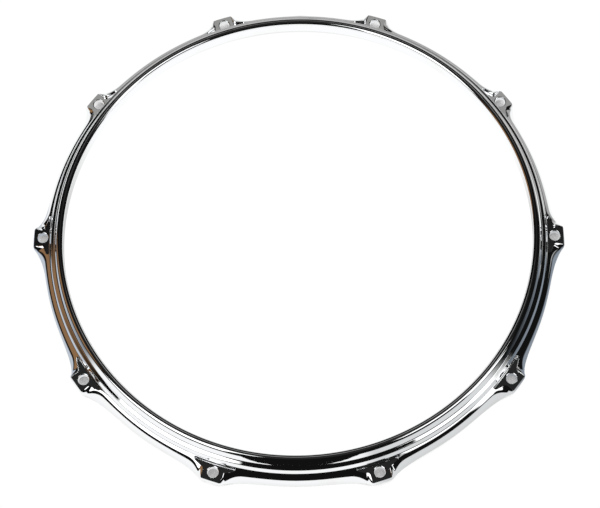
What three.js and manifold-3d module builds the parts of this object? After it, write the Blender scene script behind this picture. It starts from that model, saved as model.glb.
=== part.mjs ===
// Drum hoop: one chrome-plated casting with a rounded rim, a ledge, a sloping flange, a skirt and ten
// ears for tension rods, each with a level seat cut into its top. Millimetres, +Z up. The origin is on
// the hoop's axis, in the plane of the skirt's bottom edge, and the first ear points along +X.
import * as THREE from 'three';
import Module from 'manifold-3d';
import { mergeVertices } from 'three/addons/utils/BufferGeometryUtils.js';

// Overall sizes
const hoopHeight = 25.1;
const rimInnerRadius = 178.8;
const rimWall = 4.5;

// From the rim's outer wall down to the ledge, over its edge and down the step to the flange
const coveSetOut = 1.4;
const coveDrop = 5.9;
const ledgeWidth = 2.7;
const ledgeFall = 0.7;
const stepRun = 0.9;
const stepDrop = 3.9;

// Flange and skirt, and the channel inside for the drum head's own hoop
const flangeRun = 6.7;
const flangeFall = 3.1;
const skirtWall = 7;
const channelDepth = 11.5;
const channelDraft = 1.5;
const edgeBreak = 0.6;

// Ears and their rod holes
const earCount = 10;
const holeSetOut = 1.1;
const holeDiameter = 7.7;
const holeChamfer = 0.9;
const earLand = 3.45;
const earThickness = 4.5;
const noseRise = 0.3;
const noseRound = 2.2;
const noseHalfWidth = 6.2;
const upperCornerRound = 3.5;
const upperWebReach = 3;
const upperWebLean = 14.5;
const upperWebEnd = 22;
const lowerCornerRound = 4;
const lowerWebReach = 8.6;
const lowerWebLean = 26;
const lowerWebEnd = 48;

// Seats for the rods' washers
const seatHeight = 8.7;
const seatStandOff = 0.5;
const seatHalfWidth = 17.2;
const seatDepth = 4.5;
const seatCornerRound = 1.8;
const seatNeckHalfWidth = 8.2;
const seatNeckSetOut = 0.3;
const seatNoseHalfWidth = 6.6;
const cutOverrun = 5;

// Numbers of straight pieces in the curves
const rimSteps = 4;
const shoulderSteps = 5;
const cornerSteps = 2;
const upperWebSteps = 4;
const lowerWebSteps = 2;
const seatCornerSteps = 3;
const seatArcSteps = 6;
const holeSides = 20;

// Turns of the ear's corners, and the shares that place its rounding
const upperCornerTurn = THREE.MathUtils.degToRad(62);
const lowerCornerTurn = THREE.MathUtils.degToRad(38);
const shoulderBackShare = 0.87;
const shoulderBackLossShare = 0.55;
const shoulderDownShare = 0.5;
const noseSharpness = 20;

const wasm = await Module();
wasm.setup();

function point(x, y) {
  return new THREE.Vector2(x, y);
}

// Section points have the radius as x and the height as y.
const rimRadius = rimWall / 2;
const rimCentre = point(rimInnerRadius + rimRadius, hoopHeight - rimRadius);
const cove = point(rimInnerRadius + rimWall + coveSetOut, hoopHeight - coveDrop);
const ledgeEdge = point(cove.x + ledgeWidth, cove.y - ledgeFall);
const stepFoot = point(ledgeEdge.x + stepRun, ledgeEdge.y - stepDrop);
const skirtOuterRadius = stepFoot.x + flangeRun;
const skirtInnerRadius = skirtOuterRadius - skirtWall;
const holeCircleRadius = skirtOuterRadius + holeSetOut;
const noseRadius = holeCircleRadius + holeDiameter / 2 + earLand;
const reach = noseRadius - skirtOuterRadius;

// A corner rounded between a point before it and a point after it, as an arc of a conic.
function roundedCorner(before, corner, after, back, on, steps) {
  const toBefore = before.clone().sub(corner).normalize();
  const toAfter = after.clone().sub(corner).normalize();
  const start = corner.clone().addScaledVector(toBefore, back);
  const end = corner.clone().addScaledVector(toAfter, on);
  const weight = Math.sin(Math.acos(THREE.MathUtils.clamp(toBefore.dot(toAfter), -1, 1)) / 2);
  const points = [];
  for (let i = 0; i <= steps; i += 1) {
    const t = i / steps;
    const [a, b, c] = [(1 - t) ** 2, 2 * weight * t * (1 - t), t ** 2];
    points.push(start.clone().multiplyScalar(a).addScaledVector(corner, b).addScaledVector(end, c)
      .divideScalar(a + b + c));
  }
  return points;
}

// Up the inner wall, over the rounded rim, down to the ledge and the step's foot.
function rimSection() {
  const points = [point(rimInnerRadius, channelDepth + edgeBreak)];
  for (let i = 0; i <= rimSteps; i += 1) {
    const angle = Math.PI * (1 - i / rimSteps);
    const offset = point(Math.cos(angle), Math.sin(angle)).multiplyScalar(rimRadius);
    points.push(rimCentre.clone().add(offset));
  }
  return [...points, cove, ledgeEdge, stepFoot];
}

// From the flange round the shoulder, down the skirt or the ear's side, and back along the underside.
function outerSection({ upperShare, lowerShare }) {
  const spanHeight = stepFoot.y - flangeFall;
  const shoulder = point(
    skirtOuterRadius + reach * upperShare,
    THREE.MathUtils.lerp(spanHeight, seatHeight + noseRise, upperShare),
  );
  const underside = (seatHeight - earThickness) * upperShare * (2 - upperShare);
  const foot = point(skirtOuterRadius + reach * lowerShare, underside);
  const backShare = shoulderBackShare - shoulderBackLossShare * upperShare;
  const back = THREE.MathUtils.lerp(
    shoulder.distanceTo(stepFoot) * backShare,
    noseRound,
    upperShare ** noseSharpness,
  );
  const down = shoulder.distanceTo(foot) * shoulderDownShare;
  const innerRadius = skirtInnerRadius - (channelDraft * underside) / channelDepth;
  return [
    ...roundedCorner(stepFoot, shoulder, foot, back, down, shoulderSteps),
    point(foot.x, underside + edgeBreak),
    point(foot.x - edgeBreak, underside),
    point(innerRadius + edgeBreak, underside),
    point(innerRadius, underside + edgeBreak),
  ];
}

// The flat face that presses on the drum head's own hoop closes the section.
function pressingFace() {
  return [
    point(skirtInnerRadius - channelDraft, channelDepth),
    point(rimInnerRadius + edgeBreak, channelDepth),
  ];
}

// Half of an ear's outline, unrolled along the hole circle: x runs from the ear's centre line, and y
// is how far the outline stands out from the skirt. A round corner and a hollow web join the flank.
function earOutline(cornerRound, turn, webReach, webLean, webEnd, webSteps) {
  const points = [point(0, reach)];
  for (let i = 0; i <= cornerSteps; i += 1) {
    const angle = (turn * i) / cornerSteps;
    points.push(point(
      noseHalfWidth + cornerRound * Math.sin(angle),
      reach - cornerRound * (1 - Math.cos(angle)),
    ));
  }
  const start = points[points.length - 1];
  const web = new THREE.CubicBezierCurve(
    start,
    point(start.x + webReach * Math.cos(turn), start.y - webReach * Math.sin(turn)),
    point(webLean, 0),
    point(webEnd, 0),
  );
  return [...points, ...web.getPoints(webSteps).slice(1)];
}

const upperOutline = earOutline(
  upperCornerRound, upperCornerTurn, upperWebReach, upperWebLean, upperWebEnd, upperWebSteps,
);
const lowerOutline = earOutline(
  lowerCornerRound, lowerCornerTurn, lowerWebReach, lowerWebLean, lowerWebEnd, lowerWebSteps * 4,
);

// How far an outline stands out at a place along it, as a share of the ear's whole reach.
function shareAt(outline, x) {
  const next = outline.findIndex((corner) => corner.x >= x);
  if (next < 0) return 0;
  if (next === 0) return 1;
  const [a, b] = [outline[next - 1], outline[next]];
  return THREE.MathUtils.mapLinear(x, a.x, b.x, a.y, b.y) / reach;
}

// Every station round the hoop: its angle, and the shares of an ear in the section there.
function hoopStations() {
  const sector = (2 * Math.PI) / earCount;
  const spanMiddle = (sector / 2) * holeCircleRadius;
  const places = upperOutline.map(({ x }) => x);
  for (let i = 1; i <= lowerWebSteps; i += 1) {
    places.push(THREE.MathUtils.lerp(upperOutline.at(-1).x, lowerOutline.at(-1).x, i / lowerWebSteps));
  }
  const half = [...places, spanMiddle].map((x) => ({
    angle: x / holeCircleRadius,
    upperShare: shareAt(upperOutline, x),
    lowerShare: shareAt(lowerOutline, x),
  }));
  const mirrored = half.slice(1, -1).map((station) => ({ ...station, angle: -station.angle }));
  const oneSector = [...mirrored.reverse(), ...half];
  const stations = [];
  for (let ear = 0; ear < earCount; ear += 1) {
    oneSector.forEach((station) => stations.push({ ...station, angle: station.angle + ear * sector }));
  }
  return stations;
}

// Loft the section round the axis, from span to ear and back at every ear.
function ringGeometry() {
  const rim = rimSection();
  const face = pressingFace();
  const rings = hoopStations().map((station) => [...rim, ...outerSection(station), ...face]
    .flatMap(({ x, y }) => [x * Math.cos(station.angle), x * Math.sin(station.angle), y]));
  const size = rings[0].length / 3;
  const indices = [];
  for (let i = 0; i < rings.length; i += 1) {
    const here = i * size;
    const next = ((i + 1) % rings.length) * size;
    for (let j = 0; j < size; j += 1) {
      const k = (j + 1) % size;
      indices.push(here + j, here + k, next + k, here + j, next + k, next + j);
    }
  }
  const geometry = new THREE.BufferGeometry();
  geometry.setAttribute('position', new THREE.Float32BufferAttribute(rings.flat(), 3));
  geometry.setIndex(indices);
  return geometry;
}

// A seat's cutter: wide and shallow behind the hole, narrow from its neck out past the nose.
function seatCutter() {
  const inner = point(seatHalfWidth, stepFoot.x + seatStandOff);
  const corner = point(seatHalfWidth, inner.y + seatDepth);
  const neck = point(seatNeckHalfWidth, holeCircleRadius + seatNeckSetOut);
  const nose = point(seatNoseHalfWidth, noseRadius + cutOverrun);
  const side = [
    inner,
    ...roundedCorner(inner, corner, neck, seatCornerRound, seatCornerRound, seatCornerSteps),
    ...roundedCorner(corner, neck, nose, seatCornerRound, seatCornerRound, seatCornerSteps),
    nose,
  ];
  const mirrored = side.map(({ x, y }) => point(-x, y)).reverse();
  const outline = [...side, ...mirrored];
  for (let i = 1; i < seatArcSteps; i += 1) {
    outline.push(point(THREE.MathUtils.lerp(-inner.x, inner.x, i / seatArcSteps), inner.y));
  }
  const shape = new THREE.Shape(outline.map(({ x, y }) => {
    const angle = x / holeCircleRadius;
    return point(y * Math.cos(angle), y * Math.sin(angle));
  }));
  const geometry = new THREE.ExtrudeGeometry(shape, { depth: hoopHeight, bevelEnabled: false });
  return geometry.translate(0, 0, seatHeight);
}

// A rod hole's cutter: the bore with a broken edge below the ear and above its seat.
function holeCutter() {
  const radius = holeDiameter / 2;
  const wide = radius + holeChamfer;
  const underside = seatHeight - earThickness;
  const profile = [
    point(0, -cutOverrun),
    point(wide, -cutOverrun),
    point(wide, underside),
    point(radius, underside + holeChamfer),
    point(radius, seatHeight - holeChamfer),
    point(wide, seatHeight),
    point(wide, seatHeight + cutOverrun),
    point(0, seatHeight + cutOverrun),
  ];
  return new THREE.LatheGeometry(profile, holeSides).rotateX(Math.PI / 2).translate(holeCircleRadius, 0, 0);
}

function toSolid(geometry) {
  const bare = geometry.clone();
  bare.deleteAttribute('normal');
  bare.deleteAttribute('uv');
  const merged = mergeVertices(bare);
  return new wasm.Manifold(new wasm.Mesh({
    numProp: 3,
    vertProperties: new Float32Array(merged.attributes.position.array),
    triVerts: new Uint32Array(merged.index.array),
  }));
}

function toGeometry(solid) {
  const mesh = solid.getMesh();
  const geometry = new THREE.BufferGeometry();
  geometry.setAttribute('position', new THREE.BufferAttribute(new Float32Array(mesh.vertProperties), 3));
  geometry.setIndex(new THREE.BufferAttribute(new Uint32Array(mesh.triVerts), 1));
  geometry.computeVertexNormals();
  return geometry;
}

function hoopGeometry() {
  let solid = toSolid(ringGeometry());
  const cutters = [seatCutter(), holeCutter()];
  for (let ear = 0; ear < earCount; ear += 1) {
    cutters.forEach((cutter) => {
      const turned = cutter.clone().rotateZ((2 * Math.PI * ear) / earCount);
      solid = solid.subtract(toSolid(turned));
    });
  }
  return toGeometry(solid);
}

const chrome = new THREE.MeshStandardMaterial({ color: 0xd4d6d8, roughness: 0.06, metalness: 1 });
const hoop = new THREE.Mesh(hoopGeometry(), chrome);
hoop.name = 'hoop_casting';

const drumHoop = new THREE.Group();
drumHoop.add(hoop);

export default drumHoop;
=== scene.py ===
import math

import bmesh
import bpy
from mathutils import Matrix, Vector


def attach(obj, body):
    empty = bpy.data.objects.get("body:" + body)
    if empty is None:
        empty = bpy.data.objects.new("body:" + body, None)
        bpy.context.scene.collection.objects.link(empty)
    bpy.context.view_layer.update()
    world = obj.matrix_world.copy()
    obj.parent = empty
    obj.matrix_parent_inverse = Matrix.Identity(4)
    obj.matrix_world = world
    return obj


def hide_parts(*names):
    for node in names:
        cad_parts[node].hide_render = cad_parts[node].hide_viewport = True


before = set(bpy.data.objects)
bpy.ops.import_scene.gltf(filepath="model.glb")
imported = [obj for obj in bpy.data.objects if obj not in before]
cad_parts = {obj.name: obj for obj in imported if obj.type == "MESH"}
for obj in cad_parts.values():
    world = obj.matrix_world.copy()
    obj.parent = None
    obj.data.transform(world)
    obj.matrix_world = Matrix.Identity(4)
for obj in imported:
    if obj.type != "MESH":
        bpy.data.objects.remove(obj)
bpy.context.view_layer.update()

MM = 0.001
DEGREES = 180 / math.pi

# The hoop's sizes, in millimetres. They are those of the part's source, apart from the rim's wall and bead, the
# cove, the ledge's edge, the step's foot, the dip in the ears' flanks and the seats' outline.
RIM_INNER = 178.8
RIM_WALL = 3.9
BEAD_INNER = 177.9
BEAD_DEPTH = 5.0
HEIGHT = 25.1
COVE = (185.6, 19.2)
LEDGE_EDGE = (188.1, 18.1)
STEP_FOOT = (189.8, 14.3)
SKIRT_OUTER = 195.0
SHOULDER_HEIGHT = 11.5
SKIRT_WALL = 7.0
CHANNEL_DEPTH = 11.5
CHANNEL_DRAFT = 1.5
EAR_COUNT = 10
HOLE_CIRCLE = 196.1
HOLE_DIAMETER = 7.7
HOLE_MOUTH = 0.9
EAR_THICKNESS = 4.5
NOSE_RADIUS = 203.4
NOSE_HEIGHT = 9.0
NOSE_ROUND = 2.2
NOSE_HALF = 6.2
FLANK_DROP = 2.1
SEAT_HEIGHT = 8.7
SEAT_INNER = 190.2
SEAT_HALF = 16.4
SEAT_OUTER = 192.5
SEAT_NECK = (7.4, 195.6)
SEAT_NOSE_HALF = 7.2
SEAT_FILLET = 0.35
REACH = NOSE_RADIUS - SKIRT_OUTER
SPAN_HALF = HOLE_CIRCLE * math.pi / EAR_COUNT

# The shoulder's rounding: its share of the flange on a span, how much of that share it loses at an ear, its share
# of the skirt, how suddenly it tightens to the nose's round, and where on the flank the dip lies.
SHOULDER_BACK = 0.87
SHOULDER_BACK_LOSS = 0.55
SHOULDER_DOWN = 0.5
NOSE_SHARPNESS = 20
DIP_PLACE = 1.5

# Every other rounded corner: how far its rounding reaches back and on, in millimetres, and its steps. Each pair is
# shorter than the side between its corners, or the cuts fail.
WALL_FOOT_ROUND = (0.5, 0.5, 2)
LIP_FOOT_ROUND = (1.4, 0.9, 2)
LIP_ROUND = (0.9, 0.4, 2)
BEAD_INSIDE_ROUND = (2.3, 2.7, 9)
BEAD_OUTSIDE_ROUND = (1.9, 1.8, 8)
COVE_ROUND = (0.45, 0.45, 3)
LEDGE_ROUND = (0.3, 0.3, 2)
SKIRT_FOOT_ROUND = (0.6, 0.6, 2)
CHANNEL_ROUND = (0.5, 0.5, 2)
SEAT_BACK_ROUND = (SEAT_FILLET + 0.4, SEAT_FILLET + 0.4, 4)
SEAT_SIDE_ROUND = (1.3, 1.8, 6)
SEAT_NECK_ROUND = (1.8, 1.8, 5)
SEAT_NOSE_ROUND = (1.5, 1.5, 4)
SEAT_MIDDLE_ROUND = (0.1, 0.1, 1)
SHOULDER_STEPS = 12
FINE = 0.05

# How many steps the curves have, and how the rows of an ear's length are spaced.
NOSE_STEPS = 12
WEB_STEPS = 48
FILLET_STEPS = 4
MOUTH_STEPS = 7
DRILL_SIDES = 48
SEAT_BACK_STEPS = 8
NOSE_ROWS = [0, 2, 4, 5.2]
FLANK_ROWS = 30
FLANK_SPACING = 0.5
WEB_ROWS = 14
SPAN_ROWS = 4

# How far the cutters run past the metal, in millimetres, and how far the mouths' roundings turn, in degrees.
SEAT_PAST_NOSE = 4
SEAT_PAST_TOP = 5
DRILL_BELOW = 9
DRILL_ABOVE = 14
MOUTH_CLEAR = 0.05
LOW_MOUTH_END = 188
LOW_MOUTH_TURN = 78
HIGH_MOUTH_START = 180
HIGH_MOUTH_TURN = 82

# Edges steeper than this stay sharp, and the ears' lengths join within this many metres.
CREASE = math.radians(32)
JOIN_WITHIN = 0.00002
ON_THE_END = 1e-6

# The camera: millimetres for the lens and sensor, metres for the place and the range, degrees for the turn.
SENSOR_WIDTH = 36
LENS = 109.037
NEAREST, FARTHEST = 0.05, 40
CAMERA_PLACE = (0.037747, -0.560289, 1.281632)
CAMERA_TURN = (23.20833, 1.471737, 0.356307)


def photo_camera():
    """The camera stands where the photograph's did: high over the near side, a little to the right."""
    data = bpy.data.cameras.new("photo_camera")
    data.sensor_width = SENSOR_WIDTH
    data.lens = LENS
    data.clip_start = NEAREST
    data.clip_end = FARTHEST
    camera = bpy.data.objects.new("photo_camera", data)
    camera.location = CAMERA_PLACE
    camera.rotation_euler = [math.radians(turn) for turn in CAMERA_TURN]
    bpy.context.collection.objects.link(camera)
    bpy.context.scene.camera = camera


def rounded(corners):
    """A closed line through rounded corners. A corner is its place, how far its rounding reaches back and on, and
    its steps."""
    points = []
    for i, (x, y, back, on, steps) in enumerate(corners):
        here = Vector((x, y))
        to_last = (Vector(corners[i - 1][:2]) - here).normalized()
        to_next = (Vector(corners[(i + 1) % len(corners)][:2]) - here).normalized()
        start, end = here + to_last * back, here + to_next * on
        weight = math.cos((math.pi - to_last.angle(to_next)) / 2)
        points.append(start + to_last * FINE)
        for k in range(steps + 1):
            t = k / steps
            a, b, c = (1 - t) ** 2, 2 * weight * t * (1 - t), t * t
            points.append((start * a + here * b + end * c) / (a + b + c))
        points.append(end + to_next * FINE)
    return points


def ear_outline(corner, turn, pull, lean, end):
    """Half an ear's outline, unrolled: how far round from its centre, in millimetres, and how far out from the
    skirt. The nose's corner turns that far and then runs out in a web, whose curve is pulled and leans as said."""
    line = [(0, REACH)]
    for k in range(NOSE_STEPS + 1):
        a = turn * k / NOSE_STEPS
        line.append((NOSE_HALF + corner * math.sin(a), REACH - corner * (1 - math.cos(a))))
    start = line[-1]
    near = (start[0] + pull * math.cos(turn), start[1] - pull * math.sin(turn))
    for k in range(1, WEB_STEPS + 1):
        t = k / WEB_STEPS
        a, b, c, d = (1 - t) ** 3, 3 * t * (1 - t) ** 2, 3 * t * t * (1 - t), t ** 3
        line.append((a * start[0] + b * near[0] + c * lean + d * end, a * start[1] + b * near[1]))
    return line


UPPER_OUTLINE = ear_outline(corner=3.5, turn=math.radians(62), pull=3.0, lean=14.5, end=22.0)
LOWER_OUTLINE = ear_outline(corner=4.0, turn=math.radians(38), pull=8.6, lean=26.0, end=48.0)


def share_at(outline, around):
    """How far an outline stands out at a place along it, as a share of the ear's whole reach."""
    for (ax, ay), (bx, by) in zip(outline, outline[1:]):
        if around <= bx:
            return (ay + (by - ay) * (around - ax) / (bx - ax)) / REACH
    return 0


def section(around):
    """The hoop's section that far round from the middle of an ear."""
    upper, lower = share_at(UPPER_OUTLINE, around), share_at(LOWER_OUTLINE, around)
    shoulder = (SKIRT_OUTER + REACH * upper,
                SHOULDER_HEIGHT + (NOSE_HEIGHT - SHOULDER_HEIGHT) * upper
                - FLANK_DROP * math.sin(math.pi * upper ** DIP_PLACE))
    underside = (SEAT_HEIGHT - EAR_THICKNESS) * upper * (2 - upper)
    foot = (SKIRT_OUTER + REACH * lower, underside)
    back = math.dist(shoulder, STEP_FOOT) * (SHOULDER_BACK - SHOULDER_BACK_LOSS * upper)
    back += (NOSE_ROUND - back) * upper ** NOSE_SHARPNESS
    down = math.dist(shoulder, foot) * SHOULDER_DOWN
    channel_mouth = SKIRT_OUTER - SKIRT_WALL - CHANNEL_DRAFT * underside / CHANNEL_DEPTH
    return rounded([
        (RIM_INNER, CHANNEL_DEPTH, *WALL_FOOT_ROUND),
        (RIM_INNER, HEIGHT - BEAD_DEPTH, *LIP_FOOT_ROUND),
        (BEAD_INNER, HEIGHT - BEAD_DEPTH / 2, *LIP_ROUND),
        (BEAD_INNER, HEIGHT, *BEAD_INSIDE_ROUND),
        (RIM_INNER + RIM_WALL, HEIGHT, *BEAD_OUTSIDE_ROUND),
        (*COVE, *COVE_ROUND),
        (*LEDGE_EDGE, *LEDGE_ROUND),
        (*STEP_FOOT, *LEDGE_ROUND),
        (*shoulder, back, down, SHOULDER_STEPS),
        (*foot, *SKIRT_FOOT_ROUND),
        (channel_mouth, underside, *SKIRT_FOOT_ROUND),
        (SKIRT_OUTER - SKIRT_WALL - CHANNEL_DRAFT, CHANNEL_DEPTH, *CHANNEL_ROUND),
    ])


def in_place(around, radius, height):
    """The place, in metres, of a point given in millimetres round the ring, out from its axis and up."""
    angle = around / HOLE_CIRCLE
    return radius * MM * math.cos(angle), radius * MM * math.sin(angle), height * MM


def joined_rows(count, size):
    """Faces that join each row of points to the next one, all the way round the rows."""
    faces = []
    for a in range(0, (count - 1) * size, size):
        for j in range(size):
            k = (j + 1) % size
            faces.append((a + j, a + k, a + size + k, a + size + j))
    return faces


def evenly(start, end, count):
    """That many even places from start to end, without start itself."""
    return [start + (end - start) * k / count for k in range(1, count + 1)]


def seat_outline(inset):
    """The seat's outline in an ear, drawn in by that much: how far round, and the radius."""
    half = rounded([
        (SEAT_HALF, SEAT_INNER, *SEAT_BACK_ROUND),
        (SEAT_HALF, SEAT_OUTER, *SEAT_SIDE_ROUND),
        (*SEAT_NECK, *SEAT_NECK_ROUND),
        (SEAT_NOSE_HALF, NOSE_RADIUS + SEAT_PAST_NOSE, *SEAT_NOSE_ROUND),
        (0, NOSE_RADIUS + SEAT_PAST_NOSE, *SEAT_MIDDLE_ROUND),
        (0, SEAT_INNER, *SEAT_MIDDLE_ROUND),
    ])
    half = [p for p in half if p.x > 1]  # without the corners on the middle line, where the other half joins on
    back = half[0].x
    line = half + [Vector((-p.x, p.y)) for p in reversed(half)]
    line += [Vector((back * (k / SEAT_BACK_STEPS - 1), SEAT_INNER)) for k in range(1, 2 * SEAT_BACK_STEPS)]
    moved = []
    for i, p in enumerate(line):
        along = (line[(i + 1) % len(line)] - line[i - 1]).normalized()
        moved.append((p.x - along.y * inset, p.y + along.x * inset))
    return moved


def cut_seat(ear):
    """Takes the level seat out of an ear's top, with a fillet at the foot of its wall."""
    rings = []
    for k in range(FILLET_STEPS + 1):
        a = math.pi / 2 * k / FILLET_STEPS
        rings.append((SEAT_FILLET * (1 - math.sin(a)), SEAT_HEIGHT + SEAT_FILLET * (1 - math.cos(a))))
    rings.append((0, HEIGHT + SEAT_PAST_TOP))
    places = []
    for inset, height in rings:
        line = seat_outline(inset)
        places += [in_place(around, radius, height) for around, radius in line]
    size = len(line)
    faces = [(a, d, c, b) for a, b, c, d in joined_rows(len(rings), size)]
    faces.append(tuple(range(size)))
    faces.append(tuple((len(rings) - 1) * size + j for j in reversed(range(size))))
    cut_from(ear, "seat_cutter", places, faces)


def one_ear():
    """A tenth of the hoop, from the middle of one span to the next, with its seat and hole."""
    half = NOSE_ROWS + [NOSE_HALF + FLANK_SPACING * k for k in range(FLANK_ROWS)]
    half += evenly(half[-1], LOWER_OUTLINE[-1][0], WEB_ROWS)
    half += evenly(half[-1], SPAN_HALF, SPAN_ROWS)
    rows = []
    for around in [-x for x in half[:0:-1]] + half:
        rows.append([in_place(around, p.x, p.y) for p in section(abs(around))])
    size = len(rows[0])
    faces = joined_rows(len(rows), size)
    faces.append(tuple(reversed(range(size))))
    faces.append(tuple(range((len(rows) - 1) * size, len(rows) * size)))
    ear = new_piece("one_ear", [p for row in rows for p in row], faces)
    cut_seat(ear)
    drill_hole(ear)
    drop_end_caps(ear)
    return ear


def drill_hole(ear):
    """Takes the rod hole out of an ear. Its mouths above and below are rounded over."""
    top, low = SEAT_HEIGHT, SEAT_HEIGHT - EAR_THICKNESS
    mouth = HOLE_DIAMETER / 2 + HOLE_MOUTH
    outline = [(mouth, -DRILL_BELOW)]
    for k in range(MOUTH_STEPS + 1):
        a = math.radians(LOW_MOUTH_END + LOW_MOUTH_TURN * (1 - k / MOUTH_STEPS))
        outline.append((mouth + HOLE_MOUTH * math.cos(a), low + HOLE_MOUTH + HOLE_MOUTH * math.sin(a)))
    for k in range(MOUTH_STEPS + 1):
        a = math.radians(HIGH_MOUTH_START - HIGH_MOUTH_TURN * k / MOUTH_STEPS)
        outline.append((mouth + HOLE_MOUTH * math.cos(a), top - HOLE_MOUTH + HOLE_MOUTH * math.sin(a)))
    outline.append((mouth, top + HOLE_MOUTH * MOUTH_CLEAR))
    outline.append((mouth, top + DRILL_ABOVE))
    places, faces = [], []
    for k in range(DRILL_SIDES):
        a = 2 * math.pi * k / DRILL_SIDES
        for r, z in outline:
            places.append((HOLE_CIRCLE * MM + r * MM * math.cos(a), r * MM * math.sin(a), z * MM))
    n = len(outline)
    for k in range(DRILL_SIDES):
        a, b = k * n, ((k + 1) % DRILL_SIDES) * n
        for j in range(n - 1):
            faces.append((a + j, b + j, b + j + 1, a + j + 1))
    faces.append(tuple(k * n for k in reversed(range(DRILL_SIDES))))
    faces.append(tuple(k * n + n - 1 for k in range(DRILL_SIDES)))
    cut_from(ear, "drill", places, faces)


def new_piece(name, places, faces):
    """A piece of that name with these corners and faces."""
    mesh = bpy.data.meshes.new(name)
    mesh.from_pydata(places, [], faces)
    mesh.update()
    piece = bpy.data.objects.new(name, mesh)
    bpy.context.collection.objects.link(piece)
    return piece


def cut_from(piece, name, places, faces):
    """Takes a closed form away from a piece."""
    cutter = new_piece(name, places, faces)
    work = bmesh.new()
    work.from_mesh(cutter.data)
    bmesh.ops.recalc_face_normals(work, faces=work.faces)
    work.to_mesh(cutter.data)
    work.free()
    cut = piece.modifiers.new(name, "BOOLEAN")
    cut.operation = "DIFFERENCE"
    cut.solver = "EXACT"
    cut.object = cutter
    made_plain(piece)
    bpy.data.objects.remove(cutter)


def made_plain(piece):
    """Turns a piece and its modifiers into one plain mesh."""
    graph = bpy.context.evaluated_depsgraph_get()
    graph.update()
    mesh = bpy.data.meshes.new_from_object(piece.evaluated_get(graph), preserve_all_data_layers=True,
                                           depsgraph=graph)
    piece.modifiers.clear()
    piece.data = mesh


def drop_end_caps(ear):
    """Opens both ends of the ear's length, where the next ears join on."""
    end = math.pi / EAR_COUNT
    work = bmesh.new()
    work.from_mesh(ear.data)
    caps = []
    for face in work.faces:
        angles = [math.atan2(v.co.y, v.co.x) for v in face.verts]
        if all(abs(abs(a) - end) < ON_THE_END for a in angles):
            caps.append(face)
    bmesh.ops.delete(work, geom=caps, context="FACES_ONLY")
    work.to_mesh(ear.data)
    work.free()


def ring_of_ears(chrome):
    """The tree that sets one ear's length of hoop round the axis and joins the lengths into a ring."""
    tree = bpy.data.node_groups.new("ring_of_ears", "GeometryNodeTree")
    face = tree.interface
    face.new_socket("Ear", in_out="INPUT", socket_type="NodeSocketGeometry")
    count = face.new_socket("Ear Count", in_out="INPUT", socket_type="NodeSocketInt")
    join = face.new_socket("Join Within", in_out="INPUT", socket_type="NodeSocketFloat")
    face.new_socket("Hoop", in_out="OUTPUT", socket_type="NodeSocketGeometry")
    nodes, links = tree.nodes, tree.links
    come = nodes.new("NodeGroupInput")
    spots = nodes.new("GeometryNodePoints")
    links.new(come.outputs["Ear Count"], spots.inputs["Count"])
    step = math_node(tree, "DIVIDE", 2 * math.pi, come.outputs["Ear Count"])
    spin = nodes.new("ShaderNodeCombineXYZ")
    links.new(math_node(tree, "MULTIPLY", nodes.new("GeometryNodeInputIndex").outputs[0], step), spin.inputs["Z"])
    place = nodes.new("GeometryNodeInstanceOnPoints")
    links.new(spots.outputs[0], place.inputs["Points"])
    links.new(come.outputs["Ear"], place.inputs["Instance"])
    links.new(spin.outputs[0], place.inputs["Rotation"])
    real = nodes.new("GeometryNodeRealizeInstances")
    links.new(place.outputs[0], real.inputs[0])
    merge = nodes.new("GeometryNodeMergeByDistance")
    links.new(real.outputs[0], merge.inputs["Geometry"])
    links.new(come.outputs["Join Within"], merge.inputs["Distance"])
    smooth = nodes.new("GeometryNodeSetShadeSmooth")
    links.new(merge.outputs[0], smooth.inputs["Geometry"])
    angle = nodes.new("GeometryNodeInputMeshEdgeAngle").outputs["Unsigned Angle"]
    crease = nodes.new("GeometryNodeSetShadeSmooth")
    crease.domain = "EDGE"
    crease.inputs["Shade Smooth"].default_value = False
    links.new(smooth.outputs[0], crease.inputs["Geometry"])
    links.new(math_node(tree, "GREATER_THAN", angle, CREASE), crease.inputs["Selection"])
    paint = nodes.new("GeometryNodeSetMaterial")
    paint.inputs["Material"].default_value = chrome
    links.new(crease.outputs[0], paint.inputs["Geometry"])
    links.new(paint.outputs[0], nodes.new("NodeGroupOutput").inputs[0])
    return tree, {count.identifier: EAR_COUNT, join.identifier: JOIN_WITHIN}


def hoop_casting(chrome):
    """The whole hoop: ten equal lengths joined into one ring."""
    hoop = one_ear()
    hoop.name = "hoop_ring"
    tree, sizes = ring_of_ears(chrome)
    ring = hoop.modifiers.new("ring", "NODES")
    ring.node_group = tree
    for name, value in sizes.items():
        ring[name] = value
    even = hoop.modifiers.new("even_normals", "WEIGHTED_NORMAL")
    even.mode = "FACE_AREA"
    even.weight = 50
    even.keep_sharp = True
    made_plain(hoop)
    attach(hoop, "root")
    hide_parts("hoop_casting")


def math_node(tree, kind, first, second=None):
    """One sum in a node tree; first and second are sockets or plain numbers."""
    node = tree.nodes.new("ShaderNodeMath")
    node.operation = kind
    for i, value in enumerate((first, second)):
        if isinstance(value, (int, float)):
            node.inputs[i].default_value = value
        elif value is not None:
            tree.links.new(value, node.inputs[i])
    return node.outputs[0]


def scaled(tree, value, share, start):
    """That share of a value, added to a start."""
    return math_node(tree, "ADD", math_node(tree, "MULTIPLY", value, share), start)


def soft_step(tree, value, start, end):
    """0 where the value is at start, 1 where it is at end, smooth between."""
    node = tree.nodes.new("ShaderNodeMapRange")
    node.interpolation_type = "SMOOTHSTEP"
    node.inputs["From Min"].default_value = min(start, end)
    node.inputs["From Max"].default_value = max(start, end)
    node.inputs["To Min"].default_value = 0 if start < end else 1
    node.inputs["To Max"].default_value = 1 if start < end else 0
    tree.links.new(value, node.inputs["Value"])
    return node.outputs["Result"]


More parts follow.
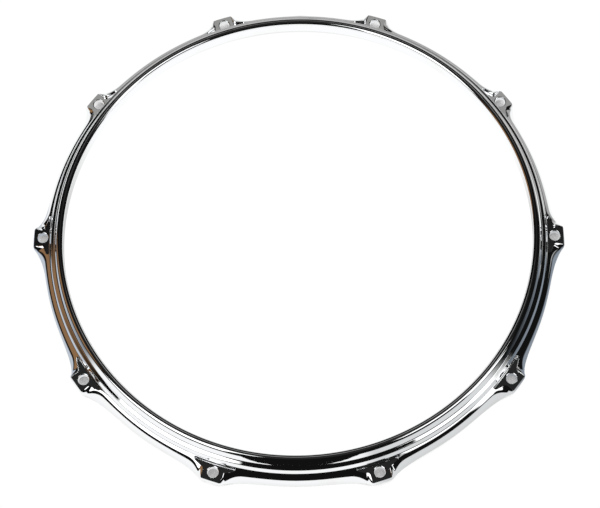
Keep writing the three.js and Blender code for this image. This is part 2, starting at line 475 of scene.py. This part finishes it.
def mixed(tree, share, first, second):
    """A colour between two, by the second one's share. Each is a socket or a plain colour."""
    node = tree.nodes.new("ShaderNodeMix")
    node.data_type = "RGBA"
    tree.links.new(share, node.inputs["Factor"])
    for name, colour in (("A", first), ("B", second)):
        if isinstance(colour, tuple):
            node.inputs[name].default_value = (*colour, 1)
        else:
            tree.links.new(colour, node.inputs[name])
    return node.outputs["Result"]


def noise_of(tree, place, scale, detail, rough=0.5):
    """Fine irregularity at a place, between 0 and 1."""
    node = tree.nodes.new("ShaderNodeTexNoise")
    node.inputs["Scale"].default_value = scale
    node.inputs["Detail"].default_value = detail
    node.inputs["Roughness"].default_value = rough
    tree.links.new(place, node.inputs["Vector"])
    return node.outputs["Fac"]


def relief(tree, height, depth, under=None):
    """The way a surface faces with that fine relief on it, that many metres deep, over another relief if given."""
    node = tree.nodes.new("ShaderNodeBump")
    node.inputs["Strength"].default_value = 1
    node.inputs["Distance"].default_value = depth
    tree.links.new(height, node.inputs["Height"])
    if under is not None:
        tree.links.new(under, node.inputs["Normal"])
    return node.outputs[0]


def parts_of(tree, kind):
    """The three parts of a place on the piece or of a direction in the room."""
    split = tree.nodes.new("ShaderNodeSeparateXYZ")
    tree.links.new(tree.nodes.new("ShaderNodeTexCoord").outputs[kind], split.inputs[0])
    return split.outputs


def out_from_axis(tree, x, y):
    """How far a place lies out from the hoop's axis."""
    squares = [math_node(tree, "MULTIPLY", part, part) for part in (x, y)]
    return math_node(tree, "SQRT", math_node(tree, "ADD", *squares))


# The chrome's finish. The buffing lines' scale is per metre, along the ring, out from its axis and up.
BUFFING = (6, 900, 900)
SWELL_DEPTH = 0.00004
GRAIN_DEPTH = 0.0000015
POLISH = 0.016
LINES_ROUGHEN = 0.016
FILM_ROUGHENS = 0.03
DUST_ROUGHENS = 0.22
FILM_TINTS = 0.7
CLEAN_CHROME = (0.925, 0.935, 0.945)
FILMED_CHROME = (0.885, 0.885, 0.875)


def chrome_plate():
    """Polished chrome over a casting: a faintly uneven ground, buffing lines round the ring, a few wipe marks and
    dust."""
    material = bpy.data.materials.new("chrome_plate")
    material.use_nodes = True
    tree = material.node_tree
    shader = tree.nodes["Principled BSDF"]
    shader.inputs["Metallic"].default_value = 1
    here = tree.nodes.new("ShaderNodeTexCoord").outputs["Object"]
    x, y, up = parts_of(tree, "Object")
    along = math_node(tree, "MULTIPLY", math_node(tree, "ARCTAN2", y, x), RIM_INNER * MM)
    buffed = tree.nodes.new("ShaderNodeCombineXYZ")
    for i, (part, stretch) in enumerate(zip((along, out_from_axis(tree, x, y), up), BUFFING)):
        tree.links.new(math_node(tree, "MULTIPLY", part, stretch), buffed.inputs[i])
    lines = noise_of(tree, buffed.outputs[0], scale=1, detail=3)
    film = soft_step(tree, noise_of(tree, here, scale=38, detail=4, rough=0.6), 0.52, 0.72)
    dust = soft_step(tree, noise_of(tree, here, scale=1500, detail=2, rough=0.7), 0.73, 0.80)
    rough = POLISH
    for marks, roughen in ((lines, LINES_ROUGHEN), (film, FILM_ROUGHENS), (dust, DUST_ROUGHENS)):
        rough = scaled(tree, marks, roughen, rough)
    tree.links.new(rough, shader.inputs["Roughness"])
    tone = mixed(tree, math_node(tree, "MULTIPLY", film, FILM_TINTS), CLEAN_CHROME, FILMED_CHROME)
    tree.links.new(tone, shader.inputs["Base Color"])
    swell = relief(tree, noise_of(tree, here, scale=90, detail=1.5), SWELL_DEPTH)
    tree.links.new(relief(tree, lines, GRAIN_DEPTH, swell), shader.inputs["Normal"])
    return material


WHITE = (1, 1, 1)
WOOD = (0.27, 0.15, 0.073)
BACK_WALL = (0.42, 0.42, 0.41)
BACK_LIGHT = (0.32, 0.32, 0.31)
CEILING = (0.02, 0.02, 0.02)
ROOM_DARK = (0.006, 0.006, 0.006)
LEFT_BOX = (1.8, 1.8, 1.8)
LEFT_TOP_BOX = (1.6, 1.6, 1.6)
RIGHT_BOX = (1.4, 1.4, 1.4)
RIGHT_SIDE_BOX = (1.2, 1.2, 1.2)

# What stands round the hoop in the studio: bearing from the near side in degrees, anticlockwise seen from
# above, from and to; height above the horizon in degrees, from and to; softness of both edges; colour.
ROOM = [
    (119, 181, -90, 16, 3, 5, BACK_WALL),
    (-181, -144, -90, 16, 3, 5, BACK_WALL),
    (164, 181, 55, 63, 3, 1.5, BACK_LIGHT),
    (-181, -160, 55, 63, 3, 1.5, BACK_LIGHT),
    (-181, 181, 65, 91, 1, 1.5, CEILING),
    (-112, -78, -3, 40, 4, 6, WOOD),
    (-71, -26, 19, 64, 1.5, 1.5, LEFT_BOX),
    (-48, -22, 60, 71, 2, 2, LEFT_TOP_BOX),
    (60, 77, 6, 62, 1.5, 1.5, RIGHT_BOX),
    (36, 48, 35, 54, 1.5, 1.5, RIGHT_BOX),
    (45, 62, 35, 62, 1.5, 1.5, RIGHT_BOX),
    (70, 91, 47, 64, 2, 2, RIGHT_SIDE_BOX),
]

TABLE_INSIDE = (1.05, 1.05, 1.05)
# Painted shade of the hoop on the sheet under its rim, as the chrome sees it.
TABLE_SHADE_UNDER_RIM = (0.66, 0.66, 0.65)
TABLE_OPEN = (1.0, 1.0, 1.0)
# Painted shade beside the skirt: grey on the near right, bluish grey just outside it at the right side.
TABLE_SHADE_RIGHT = (0.72, 0.73, 0.73)
TABLE_SHADE_RIGHT_EDGE = (0.26, 0.30, 0.35)
TABLE_FAR = (0.38, 0.38, 0.37)
# Painted shade, bluish grey, just outside the skirt at the left side.
TABLE_SHADE_LEFT_EDGE = (0.55, 0.60, 0.67)

# How the table round the hoop looks in the chrome: the same, with the distance from the hoop's axis in
# millimetres in place of the height. The grey patches under the rim and beside the skirt are painted shade of the
# hoop on the sheet, bluish just outside the skirt at both sides.
TABLE = [
    (-181, 181, -10, 190, 1, 3, TABLE_INSIDE),
    (44, 104, 120, 190, 14, 12, TABLE_SHADE_UNDER_RIM),
    (-110, -40, 120, 190, 14, 12, TABLE_SHADE_UNDER_RIM),
    (-60, 20, 190, 400, 4, 3, TABLE_OPEN),
    (18, 56, 190, 400, 4, 3, TABLE_SHADE_RIGHT),
    (54, 92, 190, 214, 3, 9, TABLE_SHADE_RIGHT_EDGE),
    (90, 181, 190, 900, 4, 3, TABLE_OPEN),
    (90, 181, 236, 900, 4, 22, TABLE_FAR),
    (-181, -96, 190, 900, 4, 3, TABLE_OPEN),
    (-181, -128, 236, 900, 4, 22, TABLE_FAR),
    (-98, -58, 190, 216, 4, 8, TABLE_SHADE_LEFT_EDGE),
]

# The sheet as the eye sees it, in metres: how near the casting counts as close over it, where the painted shade
# begins and ends as shares of open sky, and where it stops inside the ring. Then its brightness; then where the
# same painted shade begins and ends in the chrome, its darkest there and its rise; and its sides.
CLOSE_OVER = 0.014
SHADE_SAMPLES = 8
SHADE_FROM, SHADE_TO = 0.24, 0.54
INSIDE_FROM, INSIDE_TO = 0.188, 0.184
SHEET_DARKEST, SHEET_RISE = 0.22, 0.8
MIRRORED_FROM, MIRRORED_TO = 0.1, 0.9
MIRRORED_DARKEST, MIRRORED_RISE = 0.8, 0.2
SHEET_LEFT, SHEET_RIGHT, SHEET_NEAR, SHEET_BACK = -0.33, 0.34, -0.234, 1.4


def patches(tree, bearing, level, table, ground):
    """Soft-edged patches of colour laid by bearing and level over a ground colour, later ones on top."""
    colour = ground
    for start, end, low, high, soft, edge, tint in table:
        inside = soft_step(tree, bearing, start - soft, start + soft)
        for other in (soft_step(tree, bearing, end + soft, end - soft),
                      soft_step(tree, level, low - edge, low + edge),
                      soft_step(tree, level, high + edge, high - edge)):
            inside = math_node(tree, "MULTIPLY", inside, other)
        colour = mixed(tree, inside, colour, tint)
    return colour


def bearing_of(tree, x, y):
    """The bearing of a place or a direction, in degrees from the near side."""
    near = math_node(tree, "MULTIPLY", y, -1)
    return math_node(tree, "MULTIPLY", math_node(tree, "ARCTAN2", x, near), DEGREES)


def room_light(tree):
    """What the chrome sees of the room, by direction: softboxes, a wooden panel, a pale wall and a dark ceiling."""
    x, y, z = parts_of(tree, "Generated")
    height = math_node(tree, "MULTIPLY", math_node(tree, "ARCSINE", z), DEGREES)
    return patches(tree, bearing_of(tree, x, y), height, ROOM, ROOM_DARK)


def white_sheet():
    """The white sheet under the hoop: white to the eye with painted shade close under the casting, and in the
    chrome as TABLE says, with painted shade of the hoop in it, dimmed close under the casting as well."""
    white = bpy.data.materials.new("white_sheet")
    white.use_nodes = True
    tree = white.node_tree
    nodes, links = tree.nodes, tree.links
    nodes.clear()
    x, y, _ = parts_of(tree, "Object")
    out = out_from_axis(tree, x, y)
    close = nodes.new("ShaderNodeAmbientOcclusion")
    close.samples = SHADE_SAMPLES
    close.inputs["Distance"].default_value = CLOSE_OVER
    open_sky = close.outputs["AO"]
    shade = math_node(tree, "MAXIMUM", soft_step(tree, open_sky, SHADE_FROM, SHADE_TO),
                      soft_step(tree, out, INSIDE_FROM, INSIDE_TO))
    # Painted shade in the chrome: the sheet dims where the casting stands close over it.
    mirrored_shade = soft_step(tree, open_sky, MIRRORED_FROM, MIRRORED_TO)
    by_eye = nodes.new("ShaderNodeLightPath").outputs["Is Camera Ray"]
    table = patches(tree, bearing_of(tree, x, y), math_node(tree, "MULTIPLY", out, 1 / MM), TABLE, ROOM_DARK)
    strength = nodes.new("ShaderNodeMix")
    links.new(by_eye, strength.inputs["Factor"])
    links.new(scaled(tree, mirrored_shade, MIRRORED_RISE, MIRRORED_DARKEST), strength.inputs["A"])
    links.new(scaled(tree, shade, SHEET_RISE, SHEET_DARKEST), strength.inputs["B"])
    glow = nodes.new("ShaderNodeEmission")
    links.new(mixed(tree, by_eye, table, WHITE), glow.inputs["Color"])
    links.new(strength.outputs["Result"], glow.inputs["Strength"])
    links.new(glow.outputs[0], nodes.new("ShaderNodeOutputMaterial").inputs[0])
    return white


def studio():
    """A white sheet on a table in a dark room with softboxes, all white to the eye."""
    scene = bpy.context.scene
    scene.view_settings.view_transform = "Standard"
    corners = [(SHEET_LEFT, SHEET_NEAR, 0), (SHEET_RIGHT, SHEET_NEAR, 0),
               (SHEET_RIGHT, SHEET_BACK, 0), (SHEET_LEFT, SHEET_BACK, 0)]
    floor = new_piece("floor", corners, [(0, 1, 2, 3)])
    floor.data.materials.append(white_sheet())
    world = bpy.data.worlds.new("room")
    scene.world = world
    world.use_nodes = True
    tree = world.node_tree
    by_eye = tree.nodes.new("ShaderNodeLightPath").outputs["Is Camera Ray"]
    tree.links.new(mixed(tree, by_eye, room_light(tree), WHITE), tree.nodes["Background"].inputs[0])


photo_camera()
studio()
hoop_casting(chrome_plate())
